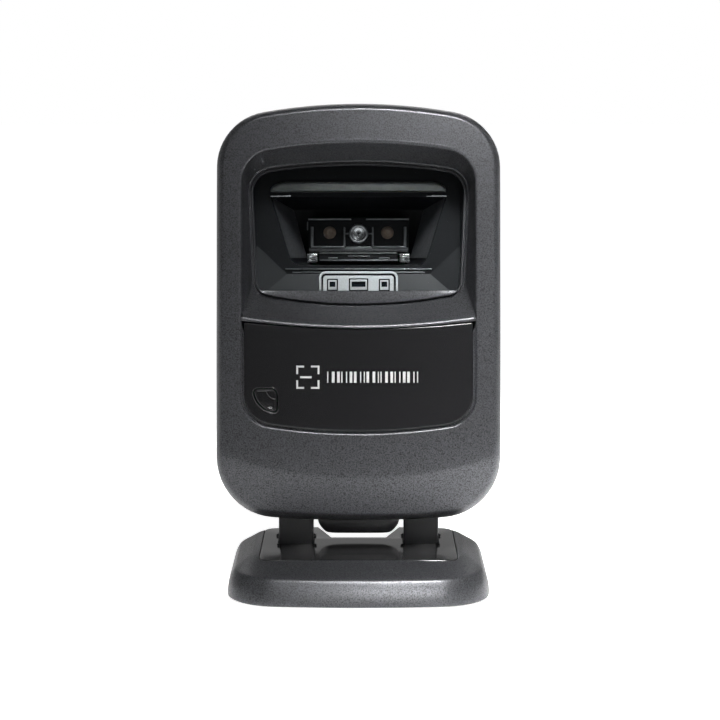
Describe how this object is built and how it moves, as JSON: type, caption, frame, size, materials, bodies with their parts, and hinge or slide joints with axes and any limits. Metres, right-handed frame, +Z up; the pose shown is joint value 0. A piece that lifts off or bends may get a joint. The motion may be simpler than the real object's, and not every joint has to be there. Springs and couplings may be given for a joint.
{
  "type": "presentation barcode scanner",
  "caption": "Hands-free barcode scanner: an upright imaging head with a recessed scan window and a gloss cover panel with a trigger button, tilting on two legs over a weighted desk foot.",
  "frame": {"origin": "on the surface the rubber pads stand on, under the middle of the object's bounding box", "axes": "+Z up, the scan window faces -Y, +X to the right of someone who looks at the window"},
  "size_m": [0.086, 0.083, 0.147],
  "materials": {
    "textured_grey": "fine grained metallic-fleck plastic",
    "satin_black": "fine satin",
    "gloss_black": "polished",
    "clear_pane": "clear, flat, polished",
    "diffuser": "translucent satin",
    "white_plastic": "smooth",
    "lens_glass": "polished dark lens",
    "led_amber": "moulded resin dome",
    "steel": "zinc plated",
    "gold": "gold flashed",
    "circuit_green": "solder mask",
    "flex_amber": "polyimide film",
    "rubber_black": "matte",
    "nylon_white": "smooth",
    "label_grey": "printed film"
  },
  "bodies": {
    "stand": {"base_housing": "textured_grey", "base_inlay": "gloss_black", "left_leg": "gloss_black", "right_leg": "gloss_black", "left_leg_pin": "satin_black", "right_leg_pin": "satin_black", "left_pivot_bush": "nylon_white", "right_pivot_bush": "nylon_white", "base_weight": "steel", "base_bottom_cover": "satin_black", "base_screw_front": "steel", "base_screw_rear": "steel", "rubber_foot_front_left": "rubber_black", "rubber_foot_front_right": "rubber_black", "rubber_foot_rear_left": "rubber_black", "rubber_foot_rear_right": "rubber_black"},
    "head": {"front_bezel": "textured_grey", "rear_housing": "satin_black", "housing_screw_left_low": "steel", "housing_screw_right_low": "steel", "housing_screw_left_top": "steel", "housing_screw_right_top": "steel", "scan_window": "clear_pane", "window_gasket": "rubber_black", "window_sill": "textured_grey", "indicator_light_bar": "diffuser", "engine_shroud": "gloss_black", "cavity_floor": "satin_black", "illumination_module": "white_plastic", "module_emitter_left": "lens_glass", "module_emitter_centre": "lens_glass", "module_emitter_right": "lens_glass", "imager_housing": "gloss_black", "imager_lens_barrel": "steel", "imager_lens": "lens_glass", "aiming_lamp_left": "led_amber", "aiming_lamp_right": "led_amber", "engine_clip_left": "steel", "engine_clip_right": "steel", "engine_rail": "satin_black", "imager_sensor_board": "circuit_green", "main_circuit_board": "circuit_green", "processor_shield": "steel", "flex_ribbon": "flex_amber", "ribbon_connector": "white_plastic", "beeper": "satin_black", "host_port_jack": "satin_black", "host_port_contacts": "gold", "front_cover_panel": "gloss_black", "trigger_spring": "steel", "trigger_switch": "satin_black", "trigger_board": "circuit_green", "tilt_bracket": "steel", "tilt_shaft": "steel", "shaft_clip_left": "steel", "shaft_clip_right": "steel", "friction_washer_left": "steel", "friction_washer_right": "steel", "rating_label": "label_grey"},
    "trigger": {"trigger_button": "gloss_black"}
  },
  "joints": [
    {"name": "head_tilt", "type": "hinge", "parent": "stand", "child": "head", "pos_m": [0, 0.004, 0.0342], "axis": [-1, 0, 0], "range_deg": [-15, 20]},
    {"name": "trigger_press", "type": "slide", "parent": "head", "child": "trigger", "axis": [0, 0.9877, -0.1564], "range_m": [0, 0.0008], "stiffness_N_per_m": 150, "springref_m": -0.001, "deforming": ["trigger_spring"]}
  ]
}
